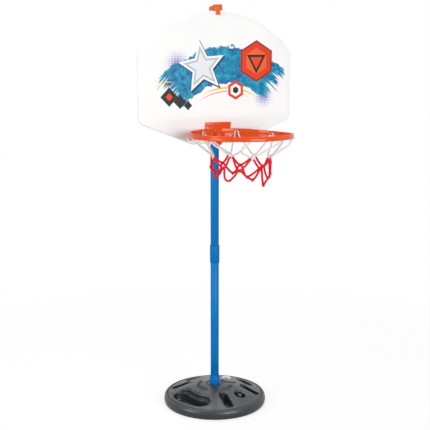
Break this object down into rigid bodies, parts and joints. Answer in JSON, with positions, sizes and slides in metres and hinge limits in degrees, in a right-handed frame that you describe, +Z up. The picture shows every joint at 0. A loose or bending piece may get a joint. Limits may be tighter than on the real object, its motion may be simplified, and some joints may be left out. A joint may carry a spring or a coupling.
{
  "type": "basketball stand",
  "caption": "Free-standing children's basketball stand: round hollow base, sectioned tube pole, arched backboard and a fixed ring with a cord net",
  "frame": {"origin": "on the floor, on the axis of the pole and of the round base", "axes": "+Z up along the pole, -Y to the front where the hoop reaches out, +X to the right of someone who looks at the board's front"},
  "size_m": [0.486, 0.4608, 1.1815],
  "materials": {
    "base_plastic": "satin moulded, dark grey",
    "stopper_plastic": "satin, pale grey",
    "blue_plastic": "gloss, blue",
    "pole_blue": "gloss paint, blue",
    "board_white": "satin gloss, white",
    "print_film": "printed film on white",
    "hoop_orange": "gloss, orange",
    "clip_orange": "gloss, orange",
    "screw_steel": "zinc-plated",
    "cord_white": "woven nylon cord, white",
    "cord_red": "woven nylon cord, red"
  },
  "bodies": {
    "base": {"base_shell": "base_plastic"},
    "stopper": {"filler_stopper": "stopper_plastic"},
    "lower_pole": {"foot_collar": "blue_plastic", "lower_tube": "pole_blue", "middle_coupler": "blue_plastic"},
    "upper_pole": {"middle_tube": "pole_blue", "upper_coupler": "blue_plastic", "upper_tube": "pole_blue", "backboard": "board_white", "print_film": "print_film", "hoop_ring": "hoop_orange", "rear_clamp": "hoop_orange", "clamp_screw_1": "screw_steel", "clamp_screw_2": "screw_steel", "clamp_screw_3": "screw_steel", "clamp_screw_4": "screw_steel", "net_white": "cord_white", "net_red": "cord_red"},
    "clip": {"top_clip": "clip_orange"}
  },
  "joints": [
    {"name": "pole_swivel", "type": "hinge", "parent": "base", "child": "lower_pole", "pos_m": [0, 0, 0], "axis": [0, 0, 1], "continuous": true},
    {"name": "upper_pole_lift", "type": "slide", "parent": "lower_pole", "child": "upper_pole", "axis": [0, 0, 1], "range_m": [0, 0.026]},
    {"name": "clip_lift", "type": "slide", "parent": "upper_pole", "child": "clip", "axis": [0, 0, 1], "range_m": [0, 0.025]},
    {"name": "stopper_lift", "type": "slide", "parent": "base", "child": "stopper", "axis": [0, 0, 1], "range_m": [0, 0.0125]}
  ]
}
